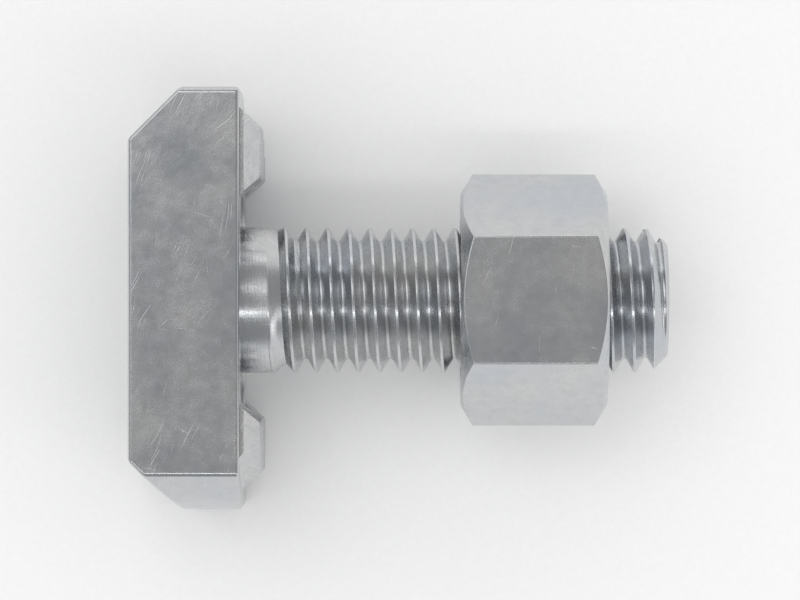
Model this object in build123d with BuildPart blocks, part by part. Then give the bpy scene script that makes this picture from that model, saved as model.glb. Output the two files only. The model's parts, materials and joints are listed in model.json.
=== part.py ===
# Toothed T-slot bolt M12 x 35 with its hex nut, for a lipped mounting channel.
#
# Frame (millimetres): the origin is where the bolt's axis meets the flat underside of the head.
# +X runs along the shank to its slotted tip, +Y along the head's long direction and +Z up, square
# to the head's long flat sides. The bolt lies on the long side that faces -Z.
#
# Real pieces, one solid each:
#   t_bolt   forged head with two toothed pads, neck and shank in one piece
#   hex_nut  the nut, run onto the thread, along which it travels

from build123d import *
import os
from math import cos, floor, radians, tan

# Head: seen along the shank it is a circle cut to the head's width, with two opposite corners
# left square, so that it turns only clockwise in its channel
head_length = 34.5
head_width = 19.5
head_thickness = 9.0
head_back_chamfer = 4.2
head_corner_radius = 0.5
head_edge_radius = 0.3

# Round recess sunk in the underside around the neck
recess_side_margin = 0.85
recess_depth = 0.5
neck_fillet = 0.5

# Toothed pads on the underside, one each side of the shank, with sloped ends
pad_recess_overlap = 0.5
pad_end_margin = 1.65
pad_side_margin = 0.75
pad_slope_length = 1.5
tooth_pitch = 3.0
tooth_depth = 1.4
tooth_root_height = 0.3
tooth_flank_angle = 45.0

# Shank: a plain neck, a run-out, then the thread as a plain cylinder over its crests
thread_size = 12.0
thread_allowance = 0.14
shank_length = 35.0
neck_length = 2.1
runout_length = 2.9
tip_chamfer = 1.25
slot_width = 2.0
slot_depth = 2.0

# Nut
nut_across_flats = 18.0
nut_thickness = 12.0
nut_face_step = 0.3
nut_corner_angle = 30.0
nut_countersink = 0.52
nut_bore_play = 0.05
tip_beyond_nut = 5.0

# Sizes that follow from those above
head_reach = head_length / 2
recess_radius = head_width / 2 - recess_side_margin
pad_inner_edge = recess_radius - pad_recess_overlap
pad_reach = head_reach - pad_end_margin
pad_height = tooth_root_height + tooth_depth
tooth_count = floor((head_width - 2 * pad_side_margin) / tooth_pitch)
toothed_width = tooth_count * tooth_pitch
neck_radius = thread_size / 2
thread_radius = (thread_size - thread_allowance) / 2
nut_start = shank_length - tip_beyond_nut - nut_thickness
nut_end = nut_start + nut_thickness
nut_corner_radius = nut_across_flats / 2 / cos(radians(30))
nut_face_radius = nut_across_flats / 2 - nut_face_step
nut_corner_drop = (nut_corner_radius - nut_face_radius) * tan(radians(nut_corner_angle))
nut_bore_radius = thread_radius + nut_bore_play


def square_quadrants(reach):
    """Draws the two opposite quadrants in which the head keeps its square corners."""
    with Locations((reach / 2, reach / 2), (-reach / 2, -reach / 2)):
        Rectangle(reach, reach)


# ---------------------------------------------------------------- pads, which join t_bolt below

# What the turned head leaves of the pads: a cone, filled out by a block in the square quadrants
with BuildPart() as turning_limit:
    with BuildSketch(Plane.XY):
        Polygon(
            (0, 0),
            (0, pad_reach),
            (pad_height, pad_reach - pad_slope_length),
            (pad_height, 0),
            align=None,
        )
    revolve(axis=Axis.X)
    with BuildSketch(Plane.YZ):
        square_quadrants(pad_reach)
    extrude(amount=pad_height)

with BuildPart() as toothed_pads:
    # Both pads in side view with their sloped ends, extruded to the toothed width
    with BuildSketch(Plane.XY):
        Polygon(
            (0, pad_inner_edge),
            (pad_height, pad_inner_edge + pad_slope_length),
            (pad_height, pad_reach - pad_slope_length),
            (0, pad_reach),
            align=None,
        )
        mirror(about=Plane.XZ)
    extrude(amount=toothed_width / 2, both=True)
    add(turning_limit.part, mode=Mode.INTERSECT)

    # V grooves along the head's long direction leave the teeth standing between them
    flank_top = tooth_root_height + tooth_pitch / 2 / tan(radians(tooth_flank_angle))
    cut_top = flank_top + pad_height
    with BuildSketch(Plane.XZ):
        with GridLocations(0, tooth_pitch, 1, tooth_count + 1):
            Polygon(
                (tooth_root_height, 0),
                (flank_top, tooth_pitch / 2),
                (cut_top, tooth_pitch / 2),
                (cut_top, -tooth_pitch / 2),
                (flank_top, -tooth_pitch / 2),
                align=None,
            )
    extrude(amount=head_reach, both=True, mode=Mode.SUBTRACT)

# ---------------------------------------------------------------- t_bolt

with BuildPart() as t_bolt:
    # Head: its outline along the shank, then both back ends cut off at 45 degrees
    with BuildSketch(Plane.YZ):
        Circle(head_reach)
        square_quadrants(head_reach)
        Rectangle(head_length, head_width, mode=Mode.INTERSECT)
    extrude(amount=-head_thickness)
    edge_rows = t_bolt.edges().filter_by(Axis.X).group_by(Axis.Z)
    fillet(edge_rows[0] + edge_rows[-1], radius=head_corner_radius)
    with BuildSketch(Plane.XY):
        Polygon(
            (-head_thickness, head_reach - head_back_chamfer),
            (-head_thickness + head_back_chamfer, head_reach),
            (-head_thickness, head_reach),
            align=None,
        )
        mirror(about=Plane.XZ)
    extrude(amount=head_width / 2, both=True, mode=Mode.SUBTRACT)
    back_edges = t_bolt.edges().filter_by_position(
        Axis.X, -head_thickness, -head_thickness + head_back_chamfer
    )
    fillet(back_edges, radius=head_edge_radius)

    add(toothed_pads.part)

    # Recess around the neck, which also trims the pads' inner feet
    with BuildSketch(Plane.YZ.offset(-recess_depth)):
        Circle(recess_radius)
    extrude(amount=recess_depth + pad_height, mode=Mode.SUBTRACT)

    # Neck, run-out, thread and tip, turned as one section
    with BuildSketch(Plane.XY):
        Polygon(
            (-recess_depth, 0),
            (-recess_depth, neck_radius),
            (neck_length, neck_radius),
            (neck_length + runout_length, thread_radius),
            (shank_length - tip_chamfer, thread_radius),
            (shank_length, thread_radius - tip_chamfer),
            (shank_length, 0),
            align=None,
        )
    revolve(axis=Axis.X)
    neck_root = t_bolt.edges(Select.LAST).filter_by(GeomType.CIRCLE).sort_by(Axis.X)[0]
    fillet(neck_root, radius=neck_fillet)

    # Slot right across the tip, along the head's long direction, so that it shows how the head lies
    with BuildSketch(Plane.YZ.offset(shank_length)):
        Rectangle(2 * neck_radius, slot_width)
    extrude(amount=-slot_depth, mode=Mode.SUBTRACT)

t_bolt.part.label = "t_bolt"

# ---------------------------------------------------------------- hex_nut

with BuildPart() as hex_nut:
    with BuildSketch(Plane.YZ.offset(nut_start)):
        RegularPolygon(nut_corner_radius, 6)
    extrude(amount=nut_thickness)

    # The corners are turned off at both faces, from the face circle outwards
    with BuildSketch(Plane.XY):
        Polygon(
            (nut_start, 0),
            (nut_start, nut_face_radius),
            (nut_start + nut_corner_drop, nut_corner_radius),
            (nut_end - nut_corner_drop, nut_corner_radius),
            (nut_end, nut_face_radius),
            (nut_end, 0),
            align=None,
        )
    revolve(axis=Axis.X, mode=Mode.INTERSECT)

    # Bore, countersunk at both mouths
    with BuildSketch(Plane.YZ.offset(nut_start)):
        Circle(nut_bore_radius)
    extrude(amount=nut_thickness, mode=Mode.SUBTRACT)
    chamfer(hex_nut.edges(Select.LAST).filter_by(GeomType.CIRCLE), length=nut_countersink)

hex_nut.part.label = "hex_nut"

# ---------------------------------------------------------------- files

os.makedirs("parts", exist_ok=True)
export_step(t_bolt.part, "parts/t_bolt.step")
export_step(hex_nut.part, "parts/hex_nut.step")
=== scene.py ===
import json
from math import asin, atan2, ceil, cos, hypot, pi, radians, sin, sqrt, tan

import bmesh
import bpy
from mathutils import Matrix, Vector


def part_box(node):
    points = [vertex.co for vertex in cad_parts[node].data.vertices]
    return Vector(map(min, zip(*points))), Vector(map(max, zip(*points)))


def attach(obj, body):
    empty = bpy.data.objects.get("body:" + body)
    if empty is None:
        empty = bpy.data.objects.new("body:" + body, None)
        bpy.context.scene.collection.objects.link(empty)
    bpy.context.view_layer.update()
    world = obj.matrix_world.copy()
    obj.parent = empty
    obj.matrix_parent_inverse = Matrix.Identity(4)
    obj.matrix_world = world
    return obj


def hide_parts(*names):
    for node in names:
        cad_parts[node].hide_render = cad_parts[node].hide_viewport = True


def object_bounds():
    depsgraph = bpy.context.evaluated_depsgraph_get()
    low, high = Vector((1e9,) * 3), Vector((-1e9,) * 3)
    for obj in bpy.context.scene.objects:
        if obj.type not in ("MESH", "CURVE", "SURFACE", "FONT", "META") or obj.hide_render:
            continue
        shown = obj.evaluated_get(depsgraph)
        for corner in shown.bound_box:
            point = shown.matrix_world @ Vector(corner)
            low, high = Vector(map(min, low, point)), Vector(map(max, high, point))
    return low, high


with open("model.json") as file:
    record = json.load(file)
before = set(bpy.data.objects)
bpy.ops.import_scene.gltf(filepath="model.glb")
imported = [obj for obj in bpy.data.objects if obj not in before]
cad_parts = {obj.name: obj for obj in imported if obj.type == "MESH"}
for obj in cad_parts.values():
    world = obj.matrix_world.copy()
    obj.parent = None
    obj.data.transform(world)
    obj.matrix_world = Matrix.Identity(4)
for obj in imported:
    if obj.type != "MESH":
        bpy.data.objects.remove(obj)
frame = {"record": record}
cad_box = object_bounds()

# Looks of the toothed T-slot bolt M12 x 35 and its nut, in bright zinc plate.
#
# Both CAD solids carry their thread as a plain cylinder and their edges sharp, so each is replaced
# by a piece with the real helical thread and softened edges, inside the same box. Shapes are drawn
# in millimetres in the frame of the part and turned into metres when they are finished: +X runs
# along the shank, +Y along the head's long direction, and +Z is up as the bolt lies. Materials and
# the studio are in metres.

MM = 0.001


def box_in_mm(node):
    """Lowest and highest corner of a CAD node, in millimetres, free of the file's rounding."""
    return [Vector(round(value / MM, 3) for value in corner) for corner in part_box(node)]


bolt_low, bolt_high = box_in_mm("t_bolt")
nut_low, nut_high = box_in_mm("hex_nut")
mounts = {mount["name"]: mount for mount in frame["record"]["mounts"]}

# Head
HEAD_BACK = bolt_low.x
HEAD_REACH = bolt_high.y
HEAD_SIDE = bolt_high.z
BACK_CHAMFER = 4.2
CORNER_RADIUS = 0.5
EDGE_RADIUS = 0.3
EDGE_SEGMENTS = 4
EDGE_ANGLE = radians(20)
TURNED_SIDE_STEPS = 24

# Recess around the neck
RECESS_MARGIN = 0.85
RECESS_RADIUS = HEAD_SIDE - RECESS_MARGIN
RECESS_DEPTH = 0.5
RECESS_EDGE = 0.15

# Toothed pads. Their slopes run on into the head by the rooted width, and their foot lies in it.
PAD_INNER = 8.4
PAD_END_MARGIN = 1.65
PAD_OUTER = HEAD_REACH - PAD_END_MARGIN
PAD_SLOPE_LENGTH = 1.5
PAD_ROOTED = 0.25
PAD_FOOT = 0.8
TOOTH_PITCH = 3.0
TOOTH_COUNT = 6
PAD_SIDE = TOOTH_COUNT * TOOTH_PITCH / 2
TOOTH_DEPTH = 1.4
TOOTH_ROOT = 0.3
TOOTH_SOFTNESS = 0.16

# Shank. The neck's fillet stops just short of lying flat and runs on into the head.
NECK_RADIUS = mounts["neck"]["dims"]["r_mm"]
NECK_LENGTH = mounts["neck"]["dims"]["length_mm"]
NECK_FILLET = 0.5
FILLET_SWEEP = radians(75)
FILLET_STEPS = 5
FILLET_ROOTED = 0.12
THREAD_RADIUS = 5.93
RUNOUT_LENGTH = 2.9
SHANK_END = bolt_high.x
TIP_CHAMFER = 1.25
TIP_ROUNDING = 0.25

# Screwdriver slot
SLOT_WIDTH = 2.0
SLOT_DEPTH = 2.0
SLOT_FLOOR_RADIUS = 0.2
SLOT_MOUTH_CHAMFER = 0.12
SLOT_MOUTH_RADIUS = 0.1

# Thread M12 x 1.75, right-handed, with 60 degrees between its flanks
PITCH = 1.75
FLANK_SLOPE = tan(radians(60))
CREST_HALF_FLAT = PITCH / 16
CREST_ROUNDING = 0.06
ROOT_ROUNDING = 0.144 * PITCH

# Nut
NUT_START = nut_low.x
NUT_END = nut_high.x
NUT_FLAT = nut_high.z
NUT_CORNER = nut_high.y
NUT_FACE_STEP = 0.3
NUT_FACE_RADIUS = NUT_FLAT - NUT_FACE_STEP
NUT_CHAMFER_ANGLE = radians(30)
NUT_COUNTERSINK_RADIUS = 6.5
NUT_COUNTERSINK_REACH = 2.0
NUT_THREAD_RADIUS = 6.03
NUT_ROOT_ROUNDING = 0.1
NUT_CREST_HALF_FLAT = PITCH / 8
NUT_CREST_ROUNDING = 0.05
NUT_CORE_RADIUS = 2.0
NUT_EDGE_RADIUS = 0.22
NUT_FACE_ROUNDING = 0.15
NUT_OUTLINE_STEP = 0.3

# How finely round shapes and threads are divided, the spare turns that are cut off at each end of
# a thread, and how far cutting shapes reach past the piece
ROUND_STEPS = 192
THREAD_STEPS = 128
SPARE_TURNS = 2
BEYOND = 1.0

# How close to a cut a point counts as on it, how close to each other points are merged, and past
# which angle an edge stays crisp
CUT_TOLERANCE = 1e-6
SLIVER = 0.0005
SHARP_ANGLE = radians(28)


# ---------------------------------------------------------------- outlines


def arc(centre, radius, start, end, steps):
    """Points of an arc, both ends included, with angles in radians."""
    angles = [start + (end - start) * step / steps for step in range(steps + 1)]
    return [(centre[0] + radius * cos(a), centre[1] + radius * sin(a)) for a in angles]


def rounded(corners, closed=False, steps=4):
    """An outline from (x, y, radius) corners, each turned into an arc unless its radius is zero."""
    points = []
    count = len(corners)
    for index, (x, y, radius) in enumerate(corners):
        if radius == 0 or (not closed and index in (0, count - 1)):
            points.append((x, y))
            continue
        corner = Vector((x, y))
        before = (Vector(corners[index - 1][:2]) - corner).normalized()
        after = (Vector(corners[(index + 1) % count][:2]) - corner).normalized()
        half_angle = before.angle(after) / 2
        centre = corner + (before + after).normalized() * radius / sin(half_angle)
        first = corner + before * radius / tan(half_angle) - centre
        last = corner + after * radius / tan(half_angle) - centre
        start = atan2(first.y, first.x)
        sweep = (atan2(last.y, last.x) - start + pi) % (2 * pi) - pi
        points += arc(centre, radius, start, start + sweep, steps)
    return points


def steps_between(start, end, count):
    """Evenly spaced values from the start on, short of the end."""
    return [start + (end - start) * step / count for step in range(count)]


# ---------------------------------------------------------------- meshes


def new_piece(name, bm):
    """Puts a finished bmesh into the scene as an object with its faces outwards."""
    bmesh.ops.recalc_face_normals(bm, faces=bm.faces)
    mesh = bpy.data.meshes.new(name)
    bm.to_mesh(mesh)
    bm.free()
    piece = bpy.data.objects.new(name, mesh)
    bpy.context.scene.collection.objects.link(piece)
    return piece


def loft(name, rings):
    """A closed solid through rings of points that all have the same count."""
    bm = bmesh.new()
    loops = [[bm.verts.new(point) for point in ring] for ring in rings]
    count = len(loops[0])
    for lower, upper in zip(loops, loops[1:]):
        for i in range(count):
            j = (i + 1) % count
            bm.faces.new((lower[i], lower[j], upper[j], upper[i]))
    bm.faces.new(loops[0])
    bm.faces.new(loops[-1])
    return new_piece(name, bm)


def turned(name, profile):
    """A closed solid turned about +X from (x, radius) points."""
    angles = [2 * pi * step / ROUND_STEPS for step in range(ROUND_STEPS)]
    return loft(name, [[(x, r * cos(a), r * sin(a)) for a in angles] for x, r in profile])


def prism_along_x(name, outline, start, end):
    return loft(name, [[(x, y, z) for y, z in outline] for x in (start, end)])


def prism_along_y(name, outline, start, end):
    return loft(name, [[(x, y, z) for x, z in outline] for y in (start, end)])


def apply_modifiers(piece):
    graph = bpy.context.evaluated_depsgraph_get()
    mesh = bpy.data.meshes.new_from_object(piece.evaluated_get(graph))
    piece.modifiers.clear()
    piece.data = mesh


def combine(piece, tool, operation):
    """Adds a tool solid to a piece, cuts it away or keeps what both hold, and removes the tool."""
    modifier = piece.modifiers.new("combine", "BOOLEAN")
    modifier.operation = operation
    modifier.solver = "EXACT"
    modifier.object = tool
    apply_modifiers(piece)
    bpy.data.objects.remove(tool)


def sort_by_place(bm):
    """Puts points, edges and faces into an order that depends only on where they are."""
    for rank, vertex in enumerate(sorted(bm.verts, key=lambda vertex: tuple(vertex.co))):
        vertex.index = rank
    bm.verts.sort()
    for elements in (bm.edges, bm.faces):
        ranked = sorted(elements, key=lambda element: sorted(v.index for v in element.verts))
        for rank, element in enumerate(ranked):
            element.index = rank
        elements.sort()


def remove_slivers(piece):
    """Merges the points that the combining left almost on top of one another.

    The combining leaves them in an order that changes from run to run, and the merging keeps the
    first of those that meet, so they are sorted before.
    """
    bm = bmesh.new()
    bm.from_mesh(piece.data)
    sort_by_place(bm)
    bmesh.ops.remove_doubles(bm, verts=bm.verts, dist=SLIVER)
    bmesh.ops.dissolve_degenerate(bm, edges=bm.edges, dist=SLIVER)
    bm.to_mesh(piece.data)
    bm.free()


def cut_flat(bm, point, normal):
    """Cuts away what lies beyond a plane, and returns the edges of the open cut."""
    cut = bmesh.ops.bisect_plane(
        bm,
        geom=bm.verts[:] + bm.edges[:] + bm.faces[:],
        plane_co=point,
        plane_no=normal,
        clear_outer=True,
        dist=CUT_TOLERANCE,
    )
    return [item for item in cut["geom_cut"] if isinstance(item, bmesh.types.BMEdge)]


def close_end(bm, edges):
    """Fills an open end with one face."""
    bmesh.ops.contextual_create(bm, geom=edges)


def finish_piece(piece, body, node, material):
    """Turns a piece into metres, shades it and puts it in the place of its CAD node."""
    remove_slivers(piece)
    piece.data.transform(Matrix.Scale(MM, 4))
    piece.data.polygons.foreach_set("use_smooth", [True] * len(piece.data.polygons))
    piece.data.set_sharp_from_angle(angle=SHARP_ANGLE)
    weighted = piece.modifiers.new("weighted", "WEIGHTED_NORMAL")
    weighted.keep_sharp = True
    apply_modifiers(piece)
    piece.data.materials.clear()
    piece.data.materials.append(material)
    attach(piece, body)
    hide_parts(node)


# ---------------------------------------------------------------- thread


def thread_section(crest_half_flat, crest_rounding, root_half_flat, root_rounding):
    """One pitch of thread from crest to crest, as (offset along the axis, depth) points."""
    middle = PITCH / 2
    depth = (middle - crest_half_flat - root_half_flat) * FLANK_SLOPE
    if root_half_flat == 0:
        root = [(middle, depth, root_rounding)]
    else:
        root = [(middle + side * root_half_flat, depth, root_rounding) for side in (-1, 1)]
    corners = [(0, 0, 0), (crest_half_flat, 0, crest_rounding)]
    corners += root
    corners += [(PITCH - crest_half_flat, 0, crest_rounding), (PITCH, 0, 0)]
    return rounded(corners, steps=5)[1:-1]


def threaded_rod(section, start, end, radius_at):
    """The skin of a threaded rod about +X, and the edges of its two ends, cut off square and open.

    Its rows of points follow the right-hand helix, so that crests and roots are clean lines.
    radius_at says how far out a point lies, from its place along the axis and its depth in the
    section.
    """
    bm = bmesh.new()
    first_turn = int(start // PITCH) - SPARE_TURNS
    turns = ceil((end - start) / PITCH) + 2 * SPARE_TURNS
    columns = []
    for step in range(turns * THREAD_STEPS + 1):
        angle = 2 * pi * step / THREAD_STEPS
        advance = PITCH * (first_turn + step / THREAD_STEPS)
        column = []
        for offset, depth in section:
            x = advance + offset
            radius = radius_at(x, depth)
            column.append(bm.verts.new((x, radius * cos(angle), radius * sin(angle))))
        columns.append(column)
    for here, after in zip(columns, columns[1:]):
        for row in range(len(section) - 1):
            bm.faces.new((here[row], after[row], after[row + 1], here[row + 1]))
    # The last row of a turn meets the first row of the turn that follows
    for step in range((turns - 1) * THREAD_STEPS):
        here, after = columns[step], columns[step + 1]
        next_here, next_after = columns[step + THREAD_STEPS], columns[step + THREAD_STEPS + 1]
        bm.faces.new((here[-1], after[-1], next_after[0], next_here[0]))
    bmesh.ops.triangulate(bm, faces=bm.faces)
    start_edges = cut_flat(bm, (start, 0, 0), (-1, 0, 0))
    end_edges = cut_flat(bm, (end, 0, 0), (1, 0, 0))
    return bm, start_edges, end_edges


def draw_on(bm, edges, profile):
    """Carries an open round end on through (x, radius) rings and closes it.

    It builds them in the order of the edges, so that each run gives the same mesh.
    """
    pairs = [tuple(edge.verts) for edge in edges]
    for x, radius in profile:
        grown = {}
        for vertex in (vertex for pair in pairs for vertex in pair):
            if vertex not in grown:
                scale = radius / hypot(vertex.co.y, vertex.co.z)
                grown[vertex] = bm.verts.new((x, vertex.co.y * scale, vertex.co.z * scale))
        for a, b in pairs:
            bm.faces.new((a, b, grown[b], grown[a]))
        pairs = [(grown[a], grown[b]) for a, b in pairs]
    close_end(bm, [bm.edges.get(pair) for pair in pairs])


# ---------------------------------------------------------------- bolt


def soften_head(piece):
    modifier = piece.modifiers.new("soften", "BEVEL")
    modifier.width = EDGE_RADIUS
    modifier.segments = EDGE_SEGMENTS
    modifier.limit_method = "ANGLE"
    modifier.angle_limit = EDGE_ANGLE
    modifier.miter_outer = "MITER_ARC"
    apply_modifiers(piece)


def head_body():
    """The head without pads or recess.

    Its outline along the shank is a circle cut to the head's width, with two opposite corners left
    square. Both back ends are then cut off at 45 degrees.
    """
    side_angle = pi - asin(HEAD_SIDE / HEAD_REACH)
    square = [(HEAD_REACH, 0, 0), (HEAD_REACH, HEAD_SIDE, CORNER_RADIUS), (0, HEAD_SIDE, 0)]
    half = rounded(square, steps=6)[:-1]
    half += arc((0, 0), HEAD_REACH, side_angle, pi, TURNED_SIDE_STEPS)[:-1]
    outline = half + [(-y, -z) for y, z in half]
    head = prism_along_x("head", outline, HEAD_BACK, 0)
    bm = bmesh.new()
    bm.from_mesh(head.data)
    for side in (1, -1):
        back_end = (HEAD_BACK, side * (HEAD_REACH - BACK_CHAMFER), 0)
        close_end(bm, cut_flat(bm, back_end, (-1, side, 0)))
    bmesh.ops.recalc_face_normals(bm, faces=bm.faces)
    bm.to_mesh(head.data)
    bm.free()
    soften_head(head)
    return head


def soft_lower(a, b):
    """The lower of two heights, rounded off where they cross."""
    nearness = max(1 - abs(a - b) / TOOTH_SOFTNESS, 0)
    return min(a, b) - TOOTH_SOFTNESS * nearness**2 / 4


def tooth_height(z):
    """Height of the teeth over the head's underside, away from their sloped ends."""
    from_root = (z + TOOTH_PITCH / 2) % TOOTH_PITCH - TOOTH_PITCH / 2
    flank = -soft_lower(from_root, -from_root)
    return TOOTH_ROOT + soft_lower(flank, TOOTH_DEPTH)


def row_places():
    """Where the pad's rows of points lie in z, closer together on the soft roots and crests."""
    root = TOOTH_SOFTNESS / 2
    shoulder = TOOTH_DEPTH - TOOTH_SOFTNESS
    crest = TOOTH_PITCH / 2
    rise = steps_between(0, root, count=4) + steps_between(root, shoulder, count=4)
    rise += steps_between(shoulder, crest, count=6)
    tooth = rise + [crest] + [TOOTH_PITCH - z for z in rise[:0:-1]]
    starts = [TOOTH_PITCH * tooth_number - PAD_SIDE for tooth_number in range(TOOTH_COUNT)]
    return [start + z for start in starts for z in tooth] + [PAD_SIDE]


def pad_row(z):
    """One row across the pad on the +Y side, as (height, y) points that keep to the same edges.

    The teeth run along Y and slope down at both ends, and the outer ends follow the head's
    outline: straight in its square corner, and round in its turned one.
    """
    height = tooth_height(z)
    slope = (TOOTH_ROOT + TOOTH_DEPTH) / PAD_SLOPE_LENGTH
    low, high = height - TOOTH_SOFTNESS, height + TOOTH_SOFTNESS
    levels = steps_between(-PAD_ROOTED * slope, low, count=3)
    levels += steps_between(low, high, count=6) + [high]
    inner = [(soft_lower(level, height), PAD_INNER + level / slope) for level in levels]
    outer = []
    for level in reversed(levels):
        reach = PAD_OUTER - level / slope
        y = sqrt(reach**2 - z**2) if z < 0 else reach
        outer.append((soft_lower(level, height), y))
    middle = steps_between(inner[-1][1], outer[0][1], count=5)[1:]
    return inner + [(height, y) for y in middle] + outer


def toothed_pad(side):
    """One pad as a closed solid that stands in the head.

    The pad on the -Y side is the one on the +Y side turned half round.
    """
    bm = bmesh.new()
    rows = [
        [bm.verts.new((x, side * y, side * z)) for x, y in pad_row(z)] for z in row_places()
    ]
    for row, following in zip(rows, rows[1:]):
        for j in range(len(row) - 1):
            bm.faces.new((row[j], row[j + 1], following[j + 1], following[j]))
    rim = rows[0][:-1] + [row[-1] for row in rows[:-1]]
    rim += rows[-1][:0:-1] + [row[0] for row in rows[:0:-1]]
    base = [bm.verts.new((-PAD_FOOT, vertex.co.y, vertex.co.z)) for vertex in rim]
    for i, vertex in enumerate(rim):
        j = (i + 1) % len(rim)
        bm.faces.new((vertex, rim[j], base[j], base[i]))
    bm.faces.new(base)
    bmesh.ops.triangulate(bm, faces=bm.faces)
    return new_piece("pad", bm)


def recess_cutter():
    """The round recess with its wall, softened at the mouth and at the floor."""
    core = 0.5
    above = 3.0
    mouth = 0.02
    profile = rounded(
        [
            (-RECESS_DEPTH, core, 0),
            (-RECESS_DEPTH, RECESS_RADIUS, RECESS_EDGE),
            (mouth, RECESS_RADIUS, RECESS_EDGE),
            (mouth + RECESS_EDGE, RECESS_RADIUS + 2 * RECESS_EDGE, 0),
        ]
    )
    return turned("recess", profile + [(above, profile[-1][1])])


def shank():
    """Neck with its fillet, run-out and thread, with the tip still square and over long."""
    section = thread_section(CREST_HALF_FLAT, CREST_ROUNDING, 0, ROOT_ROUNDING)
    full_depth = max(depth for _, depth in section)

    def radius_at(x, depth):
        share = min(max((x - NECK_LENGTH) / RUNOUT_LENGTH, 0), 1)
        blank = NECK_RADIUS + (THREAD_RADIUS - NECK_RADIUS) * share
        return blank - min(depth, full_depth * share)

    bm, neck_edges, tip_edges = threaded_rod(section, NECK_LENGTH, SHANK_END + BEYOND, radius_at)
    close_end(bm, tip_edges)
    rings = []
    for step in range(FILLET_STEPS + 1):
        angle = FILLET_SWEEP * step / FILLET_STEPS
        rings.append((-NECK_FILLET * sin(angle), NECK_RADIUS + NECK_FILLET * (1 - cos(angle))))
    x, radius = rings[-1]
    rings.append((x - FILLET_ROOTED, radius + FILLET_ROOTED * tan(FILLET_SWEEP)))
    draw_on(bm, neck_edges, rings)
    return new_piece("shank", bm)


def tip_envelope():
    """What the shank may fill: all of it but for the chamfer at the tip, with its end softened."""
    room = 2.0
    corners = [
        (HEAD_BACK, THREAD_RADIUS + room, 0),
        (SHANK_END - TIP_CHAMFER - room, THREAD_RADIUS + room, 0),
        (SHANK_END, THREAD_RADIUS - TIP_CHAMFER, TIP_ROUNDING),
        (SHANK_END, 0, 0),
    ]
    return turned("envelope", rounded(corners)[:-1])


def slot_cutter():
    """The screwdriver slot, with a softened mouth and floor, right across the tip."""
    half = SLOT_WIDTH / 2
    above = 1.5
    side = [
        (SHANK_END - SLOT_DEPTH, half, SLOT_FLOOR_RADIUS),
        (SHANK_END - SLOT_MOUTH_CHAMFER, half, SLOT_MOUTH_RADIUS),
        (SHANK_END + above, half + SLOT_MOUTH_CHAMFER + above, 0),
    ]
    outline = [(x, -z, radius) for x, z, radius in reversed(side)] + side
    reach = NECK_RADIUS + BEYOND
    return prism_along_y("slot", rounded(outline, closed=True), -reach, reach)


def bolt(material):
    piece = head_body()
    piece.name = "bolt"
    for side in (1, -1):
        combine(piece, toothed_pad(side), "UNION")
    combine(piece, recess_cutter(), "DIFFERENCE")
    rod = shank()
    combine(rod, tip_envelope(), "INTERSECT")
    combine(piece, rod, "UNION")
    combine(piece, slot_cutter(), "DIFFERENCE")
    finish_piece(piece, "bolt", "t_bolt", material)


# ---------------------------------------------------------------- nut


def nut_profile(radius):
    """The nut's outline along the axis in a direction in which its hexagon reaches out so far."""
    rise = (radius - NUT_FACE_RADIUS) * tan(NUT_CHAMFER_ANGLE)
    corners = [
        (NUT_START, NUT_CORE_RADIUS, 0),
        (NUT_START, NUT_FACE_RADIUS, NUT_FACE_ROUNDING),
        (NUT_START + rise, radius, NUT_FACE_ROUNDING),
        (NUT_END - rise, radius, NUT_FACE_ROUNDING),
        (NUT_END, NUT_FACE_RADIUS, NUT_FACE_ROUNDING),
        (NUT_END, NUT_CORE_RADIUS, 0),
    ]
    return rounded(corners)


def nut_blank():
    """The hexagon with its corners turned off at both faces and every edge softened.

    It is lofted from one profile for each direction, so that the curved edges run clean.
    """
    corners = [
        (NUT_CORNER * cos(k * pi / 3), NUT_CORNER * sin(k * pi / 3), NUT_EDGE_RADIUS)
        for k in range(6)
    ]
    hexagon = rounded(corners, closed=True, steps=6)
    profiles = []
    for here, after in zip(hexagon, hexagon[1:] + hexagon[:1]):
        here, after = Vector(here), Vector(after)
        steps = max(1, round((after - here).length / NUT_OUTLINE_STEP))
        for step in range(steps):
            point = here.lerp(after, step / steps)
            out = point.normalized()
            profiles.append([(x, r * out.x, r * out.y) for x, r in nut_profile(point.length)])
    return loft("nut", list(zip(*profiles)))


def tap():
    """What the nut's thread leaves free, in step with the bolt's thread and clear of it all round.

    Its crests are the roots of the nut's thread, and its roots are the crests.
    """
    section = thread_section(
        CREST_HALF_FLAT, NUT_ROOT_ROUNDING, NUT_CREST_HALF_FLAT, NUT_CREST_ROUNDING
    )
    bm, start_edges, end_edges = threaded_rod(
        section, NUT_START - BEYOND, NUT_END + BEYOND, lambda x, depth: NUT_THREAD_RADIUS - depth
    )
    close_end(bm, start_edges)
    close_end(bm, end_edges)
    return new_piece("tap", bm)


def nut(material):
    piece = nut_blank()
    combine(piece, tap(), "DIFFERENCE")
    reach = NUT_COUNTERSINK_REACH
    for face, inwards in ((NUT_START, 1), (NUT_END, -1)):
        cone = [
            (face - inwards * BEYOND, NUT_COUNTERSINK_RADIUS + BEYOND),
            (face + inwards * reach, NUT_COUNTERSINK_RADIUS - reach),
        ]
        combine(piece, turned("countersink", cone), "DIFFERENCE")
    finish_piece(piece, "nut", "hex_nut", material)


# ---------------------------------------------------------------- materials

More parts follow.
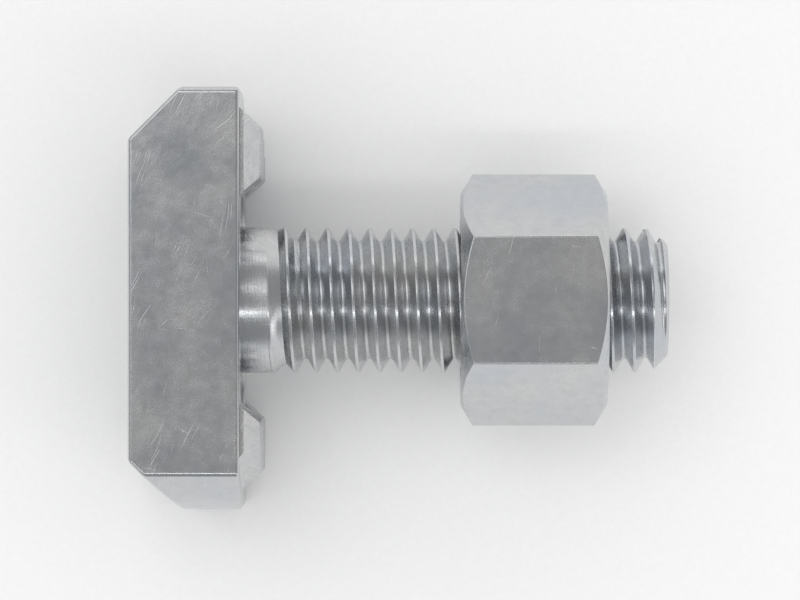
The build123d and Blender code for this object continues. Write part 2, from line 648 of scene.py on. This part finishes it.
# Tones of the plate, as linear red, green, blue and opacity: two that drift into one another on
# each piece, those of what lies over them, and those of the painted shade and painted highlight
BOLT_TONES = ((0.53, 0.553, 0.585, 1), (0.595, 0.595, 0.587, 1))
NUT_TONES = ((0.55, 0.573, 0.605, 1), (0.615, 0.615, 0.607, 1))
PEEL_TONE = (0.46, 0.475, 0.50, 1)
GRAIN_TONE = (0.42, 0.44, 0.47, 1)
SCRATCH_TONE = (0.72, 0.73, 0.74, 1)
# partly wear, partly a painted highlight: the light tone laid along sharp edges
EDGE_WEAR_AND_HIGHLIGHT_TONE = (0.78, 0.79, 0.80, 1)
# painted shade: the dark tone laid into corners and crevices
CORNER_SHADE_TONE = (0.17, 0.165, 0.16, 1)

# Patterns, coarse to fine, as noises whose scale is per metre: 1000 makes features of about a
# millimetre. Their tones come in as the noise rises through the fade, and nearly all of a noise
# lies in its spread.
CLOUD_SCALE = 170
CLOUD_FADE = (0.35, 0.65)
PEEL_SCALE = 1100
PEEL_FADE = (0.4, 0.7)
GRAIN_SCALE = 8000
GRAIN_FADE = (0.35, 0.7)
NOISE_SPREAD = (0.3, 0.7)

# Scratches come in sets, each turned in space by its own angles and shorter than the one before.
# They show where one noise rises through the fade, in patches where another does.
SCRATCH_TURNS = (
    (0.5, 0.9, 0.3),
    (1.3, 0.4, 1.2),
    (2.1, 1.0, 2.2),
    (0.8, 2.2, 0.6),
    (1.7, 1.6, 2.8),
)
SCRATCH_LENGTH = 0.0052
SCRATCH_SHORTENING = 0.0008
SCRATCH_WIDTH = 0.0001
SCRATCH_FADE = (0.72, 0.82)
SCRATCH_BEND = 0.005
SCRATCH_BEND_SCALE = 130
PATCH_SCALE = 320
PATCH_SHIFT = 0.03
PATCH_FADE = (0.50, 0.66)

# Nicks lie in the middle of cells, from rim to bottom, and only in cells of the highest tones
NICK_SCALE = 1000
NICK_TONES = (0.92, 1.0)
NICK_RIM_TO_BOTTOM = (0.26, 0.06)

# Lighter edges, partly wear from rubbing and partly a painted highlight: how far they reach, and
# how well the softened normal agrees with the true one where the lightening begins and is full
EDGE_WEAR_AND_HIGHLIGHT_REACH = 0.0002
EDGE_WEAR_AND_HIGHLIGHT_FADE = (0.98, 0.82)

# Painted shade in corners: how far it reaches out of a corner, and how open the place is where it
# begins and is full
CORNER_SHADE_REACH = 0.0009
CORNER_SHADE_FADE = (0.65, 0.1)

# Marks of the rolling dies on the thread, and of the lathe on faces that look along the axis
ROLLING_SCALE = 5200
TURNING_SCALE = 3200
TURNING_FADE = (0.45, 0.65)
TURNING_DRIFT = 0.25
TURNING_DRIFT_SCALE = 600

# Relief: how deep all of it is, how uneven the plate is on each kind of surface, and between which
# places along the bolt the rolled one gives way to the forged one
RELIEF_DEPTH = 0.00002
ROLLED_UNEVENNESS = 0.10
FORGED_UNEVENNESS = 0.50
TURNED_UNEVENNESS = 0.15
ROLLED_TO_FORGED = (0.0004, -0.0001)


class Nodes:
    """Short ways to add the nodes of one material."""

    def __init__(self, owner):
        owner.use_nodes = True
        self.tree = owner.node_tree
        self.tree.nodes.clear()

    def add(self, kind, inputs=None, output=0, **settings):
        """Adds a node, links or sets its inputs, and returns one of its outputs."""
        node = self.tree.nodes.new("ShaderNode" + kind)
        for name, value in settings.items():
            setattr(node, name, value)
        for name, value in (inputs or {}).items():
            if isinstance(value, bpy.types.NodeSocket):
                self.tree.links.new(value, node.inputs[name])
            else:
                node.inputs[name].default_value = value
        return node.outputs[output] if node.outputs else None

    def math(self, operation, *values):
        return self.add("Math", dict(enumerate(values)), operation=operation)

    def vector_math(self, operation, *values, output=0):
        return self.add("VectorMath", dict(enumerate(values)), output, operation=operation)

    def length(self, vector):
        return self.vector_math("LENGTH", vector, output="Value")

    def along(self, axis, vector):
        return self.add("SeparateXYZ", {0: vector}, axis)

    def span(self, value, low, high, to_low=0.0, to_high=1.0):
        """Carries low..high over to to_low..to_high, and holds the ends beyond."""
        ends = {"From Min": low, "From Max": high, "To Min": to_low, "To Max": to_high}
        return self.add("MapRange", {"Value": value, **ends})

    def stretch(self, vector, size, turn):
        """Coordinates in which a noise of scale 1 has features of that size, turned in space."""
        inputs = {"Vector": vector, "Scale": size, "Rotation": turn}
        return self.add("Mapping", inputs, vector_type="TEXTURE")

    def noise(self, vector, scale, detail=2.0, roughness=0.5, output=0):
        inputs = {"Vector": vector, "Scale": scale, "Detail": detail, "Roughness": roughness}
        return self.add("TexNoise", inputs, output)

    def mix(self, share, a, b):
        return self.add("Mix", {0: share, 6: a, 7: b}, output=2, data_type="RGBA")


def scratches(nodes, place):
    """Fine scratches from tumbling with other bolts, in patches.

    Each set is cut from thin bent sheets in space, so that it makes lines on whichever side it
    meets.
    """
    bend = nodes.noise(place, SCRATCH_BEND_SCALE, detail=1, output="Color")
    bend = nodes.vector_math("SUBTRACT", bend, (0.5, 0.5, 0.5))
    bent = nodes.vector_math("MULTIPLY_ADD", bend, (SCRATCH_BEND,) * 3, place)
    total = 0.0
    for number, turn in enumerate(SCRATCH_TURNS):
        length = SCRATCH_LENGTH - SCRATCH_SHORTENING * number
        sheets = nodes.stretch(bent, (length, length, SCRATCH_WIDTH), turn)
        streaks = nodes.span(nodes.noise(sheets, 1, detail=0), *SCRATCH_FADE)
        apart = nodes.vector_math("ADD", place, (PATCH_SHIFT * number, 0, 0))
        patches = nodes.span(nodes.noise(apart, PATCH_SCALE, detail=1), *PATCH_FADE)
        total = nodes.math("MULTIPLY_ADD", streaks, patches, total)
    return total


def nicks(nodes, place):
    """Small round dents of different depths, in about one cell out of twelve."""
    cells = {"Vector": place, "Scale": NICK_SCALE, "Randomness": 1.0}
    distance = nodes.add("TexVoronoi", cells, "Distance")
    tone = nodes.add("SeparateColor", {0: nodes.add("TexVoronoi", cells, "Color")})
    depth = nodes.span(tone, *NICK_TONES)
    return nodes.math("MULTIPLY", nodes.span(distance, *NICK_RIM_TO_BOTTOM), depth)


def worn_and_highlit_edges(nodes):
    """Lighter on sharp outer edges, partly wear and partly a painted highlight: strong where a
    normal softened over the edge leaves the true one.
    """
    soft = nodes.add("Bevel", {"Radius": EDGE_WEAR_AND_HIGHLIGHT_REACH}, samples=4)
    true = nodes.add("NewGeometry", output="True Normal")
    agreement = nodes.vector_math("DOT_PRODUCT", soft, true, output="Value")
    return nodes.span(agreement, *EDGE_WEAR_AND_HIGHLIGHT_FADE)


def rolling_marks(nodes, place):
    """Fine lines that follow the thread, which the rolling dies repeat at each turn."""
    pitch = PITCH * MM
    y = nodes.along("Y", place)
    z = nodes.along("Z", place)
    advance = nodes.math("DIVIDE", nodes.along("X", place), pitch)
    turn = nodes.math("DIVIDE", nodes.math("ARCTAN2", z, y), 2 * pi)
    offset = nodes.math("FRACT", nodes.math("SUBTRACT", advance, turn))
    radius = nodes.length(nodes.add("CombineXYZ", {"Y": y, "Z": z}))
    in_section = {"X": nodes.math("MULTIPLY", offset, pitch), "Y": radius}
    return nodes.noise(nodes.add("CombineXYZ", in_section), ROLLING_SCALE, detail=3, roughness=0.6)


def turning_marks(nodes, place):
    """Concentric tool marks on the faces that look along the axis."""
    facing = nodes.along("X", nodes.add("TexCoord", output="Normal"))
    across = nodes.span(nodes.math("ABSOLUTE", facing), *TURNING_FADE)
    radius = nodes.length(nodes.vector_math("MULTIPLY", place, (0, 1, 1)))
    from_axis = nodes.add("CombineXYZ", {"X": radius})
    rings = nodes.noise(from_axis, TURNING_SCALE, detail=3, roughness=0.6)
    drift = nodes.noise(place, TURNING_DRIFT_SCALE, detail=1)
    rings = nodes.math("MULTIPLY_ADD", drift, TURNING_DRIFT, rings)
    return nodes.math("MULTIPLY", rings, across)


def zinc(name, tones, forged_head):
    """Bright zinc plate over steel, with what forging, rolling, turning and tumbling leave, painted
    shade in its corners and a painted highlight on its edges.
    """
    material = bpy.data.materials.new(name)
    nodes = Nodes(material)
    place = nodes.add("TexCoord", output="Object")

    cloud = nodes.noise(place, CLOUD_SCALE, detail=3)
    peel = nodes.noise(place, PEEL_SCALE)
    grain = nodes.noise(place, GRAIN_SCALE, detail=3, roughness=0.65)
    scratched = scratches(nodes, place)
    dents = nicks(nodes, place)
    # Lighter edges, partly wear and partly a painted highlight
    edge_wear_and_highlight = worn_and_highlit_edges(nodes)
    # Painted shade in the corners. A piece is sheltered only by itself, so that the nut's place
    # isn't painted on the thread
    shelter = nodes.add(
        "AmbientOcclusion", {"Distance": CORNER_SHADE_REACH}, "AO", samples=8, only_local=True
    )
    corner_shade = nodes.span(shelter, *CORNER_SHADE_FADE)

    if forged_head:
        # The head is forged and uneven, and the shank is rolled smooth
        forged = nodes.span(nodes.along("X", place), *ROLLED_TO_FORGED)
        rolled = nodes.span(forged, 0, 1, 1, 0)
        tooled = nodes.math("MULTIPLY", rolled, rolling_marks(nodes, place))
        unevenness = nodes.span(forged, 0, 1, ROLLED_UNEVENNESS, FORGED_UNEVENNESS)
    else:
        tooled = turning_marks(nodes, place)
        unevenness = TURNED_UNEVENNESS

    cool, warm = tones
    tint = nodes.mix(nodes.span(cloud, *CLOUD_FADE), cool, warm)
    for share, tone in (
        (nodes.span(peel, *PEEL_FADE, 0, 0.3), PEEL_TONE),
        (nodes.span(grain, *GRAIN_FADE, 0, 0.3), GRAIN_TONE),
        (nodes.math("MULTIPLY", scratched, 0.3), SCRATCH_TONE),
        # lighter edges: partly wear, partly a painted highlight
        (nodes.math("MULTIPLY", edge_wear_and_highlight, 0.7), EDGE_WEAR_AND_HIGHLIGHT_TONE),
        # painted shade in the corners
        (nodes.math("MULTIPLY", corner_shade, 0.6), CORNER_SHADE_TONE),
    ):
        tint = nodes.mix(share, tint, tone)

    roughness = nodes.span(cloud, *NOISE_SPREAD, 0.20, 0.29)
    for layer, least, most in ((grain, -0.05, 0.07), (peel, -0.03, 0.04), (tooled, -0.04, 0.05)):
        roughness = nodes.math("ADD", roughness, nodes.span(layer, *NOISE_SPREAD, least, most))
    for layer, change in ((scratched, -0.08), (edge_wear_and_highlight, -0.06), (corner_shade, 0.15)):
        roughness = nodes.math("MULTIPLY_ADD", layer, change, roughness)

    height = nodes.math("MULTIPLY", peel, unevenness)
    for layer, change in ((grain, 0.05), (tooled, 0.4), (scratched, -0.15), (dents, -0.3)):
        height = nodes.math("MULTIPLY_ADD", layer, change, height)
    normal = nodes.add("Bump", {"Strength": 1.0, "Distance": RELIEF_DEPTH, "Height": height})

    surface = nodes.add(
        "BsdfPrincipled",
        {"Base Color": tint, "Metallic": 1.0, "Roughness": roughness, "Normal": normal},
    )
    nodes.add("OutputMaterial", {"Surface": surface})
    return material


# ---------------------------------------------------------------- studio

WHITE = (1, 1, 1, 1)

# The floor is pale paper, and turns white between two distances from the neck
FLOOR_REACH = 1.5
PALE_TO_WHITE = (0.06, 0.35)
PAPER_TONES = ((0.86, 0.86, 0.86, 1), (0.89, 0.89, 0.89, 1))
PAPER_ROUGHNESS = 0.9
FIBRE_SCALE = 2500

# The sky's levels, and between which heights its white gives way to grey, as sines of elevation
SKY_WHITE = 1.0
SKY_GREY = 0.36
SKY_LIGHT = 0.85
SKY_WHITE_TO_GREY = (0.10, 0.45)

# Lamps: name, place, width and height, and power in watts. All face the middle of the bolt.
LAMPS = (
    ("key", (-0.15, 0.17, 0.50), (0.34, 0.30), 0.42),
    ("strip", (0.013, -0.16, 0.42), (0.60, 0.05), 0.27),
    ("side", (0.42, -0.22, 0.22), (0.12, 0.40), 0.155),
    ("back", (0.05, 0.45, 0.20), (0.50, 0.12), 0.19),
)
LAMP_TARGET = Vector((0.013, 0, 0))

# Camera: its lens in millimetres, and how wide a stretch of the bolt's plane it takes in
LENS = 250
FRAME_WIDTH = 0.066
CLIP_END = 10


def seen_ray(nodes):
    """1 where the camera sees the surface, straight, mirrored or through glass."""
    seen = nodes.add("LightPath", output="Is Camera Ray")
    for ray in ("Is Glossy Ray", "Is Transmission Ray"):
        seen = nodes.math("MAXIMUM", seen, nodes.add("LightPath", output=ray))
    return seen


def floor():
    """The pale floor, level with the side of the head that the bolt lies on, white further out."""
    bm = bmesh.new()
    level = cad_box[0].z
    corners = ((-1, -1), (1, -1), (1, 1), (-1, 1))
    bm.faces.new([bm.verts.new((x * FLOOR_REACH, y * FLOOR_REACH, level)) for x, y in corners])
    piece = new_piece("floor", bm)
    material = bpy.data.materials.new("paper")
    nodes = Nodes(material)
    place = nodes.add("TexCoord", output="Object")
    fibre = nodes.noise(place, FIBRE_SCALE, detail=4, roughness=0.7)
    colour = nodes.mix(nodes.span(fibre, *NOISE_SPREAD), *PAPER_TONES)
    paper = nodes.add("BsdfPrincipled", {"Base Color": colour, "Roughness": PAPER_ROUGHNESS})
    white = nodes.add("Emission", {"Color": WHITE, "Strength": 1.0})
    far = nodes.span(nodes.length(place), *PALE_TO_WHITE)
    share = nodes.math("MULTIPLY", far, seen_ray(nodes))
    surface = nodes.add("MixShader", {0: share, 1: paper, 2: white})
    nodes.add("OutputMaterial", {"Surface": surface})
    piece.data.materials.append(material)


def lamp(name, place, size, power):
    light = bpy.data.lights.new(name, "AREA")
    light.shape = "RECTANGLE"
    light.size, light.size_y = size
    light.energy = power
    holder = bpy.data.objects.new(name, light)
    holder.location = place
    holder.rotation_euler = (LAMP_TARGET - Vector(place)).to_track_quat("-Z", "Y").to_euler()
    holder.visible_camera = False
    bpy.context.scene.collection.objects.link(holder)


def sky():
    """White round the horizon and grey overhead where it is seen or mirrored, even as a light."""
    world = bpy.data.worlds.new("studio")
    bpy.context.scene.world = world
    nodes = Nodes(world)
    rise = nodes.along("Z", nodes.add("TexCoord", output="Generated"))
    shown = nodes.span(rise, *SKY_WHITE_TO_GREY, SKY_WHITE, SKY_GREY)
    strength = nodes.add("Mix", {0: seen_ray(nodes), 2: SKY_LIGHT, 3: shown})
    light = nodes.add("Background", {"Color": WHITE, "Strength": strength})
    nodes.add("OutputWorld", {"Surface": light})


def camera():
    """Looks straight down on the bolt, from far off, with the shank to the right."""
    data = bpy.data.cameras.new("camera")
    data.lens = LENS
    data.clip_end = CLIP_END
    eye = bpy.data.objects.new("camera", data)
    low, high = cad_box
    centre = (low + high) / 2
    eye.location = (centre.x, centre.y, FRAME_WIDTH * LENS / data.sensor_width)
    bpy.context.scene.collection.objects.link(eye)
    bpy.context.scene.camera = eye


bolt(zinc("bolt_zinc", BOLT_TONES, forged_head=True))
nut(zinc("nut_zinc", NUT_TONES, forged_head=False))
floor()
for lamp_settings in LAMPS:
    lamp(*lamp_settings)
sky()
camera()
bpy.context.scene.view_settings.view_transform = "Standard"
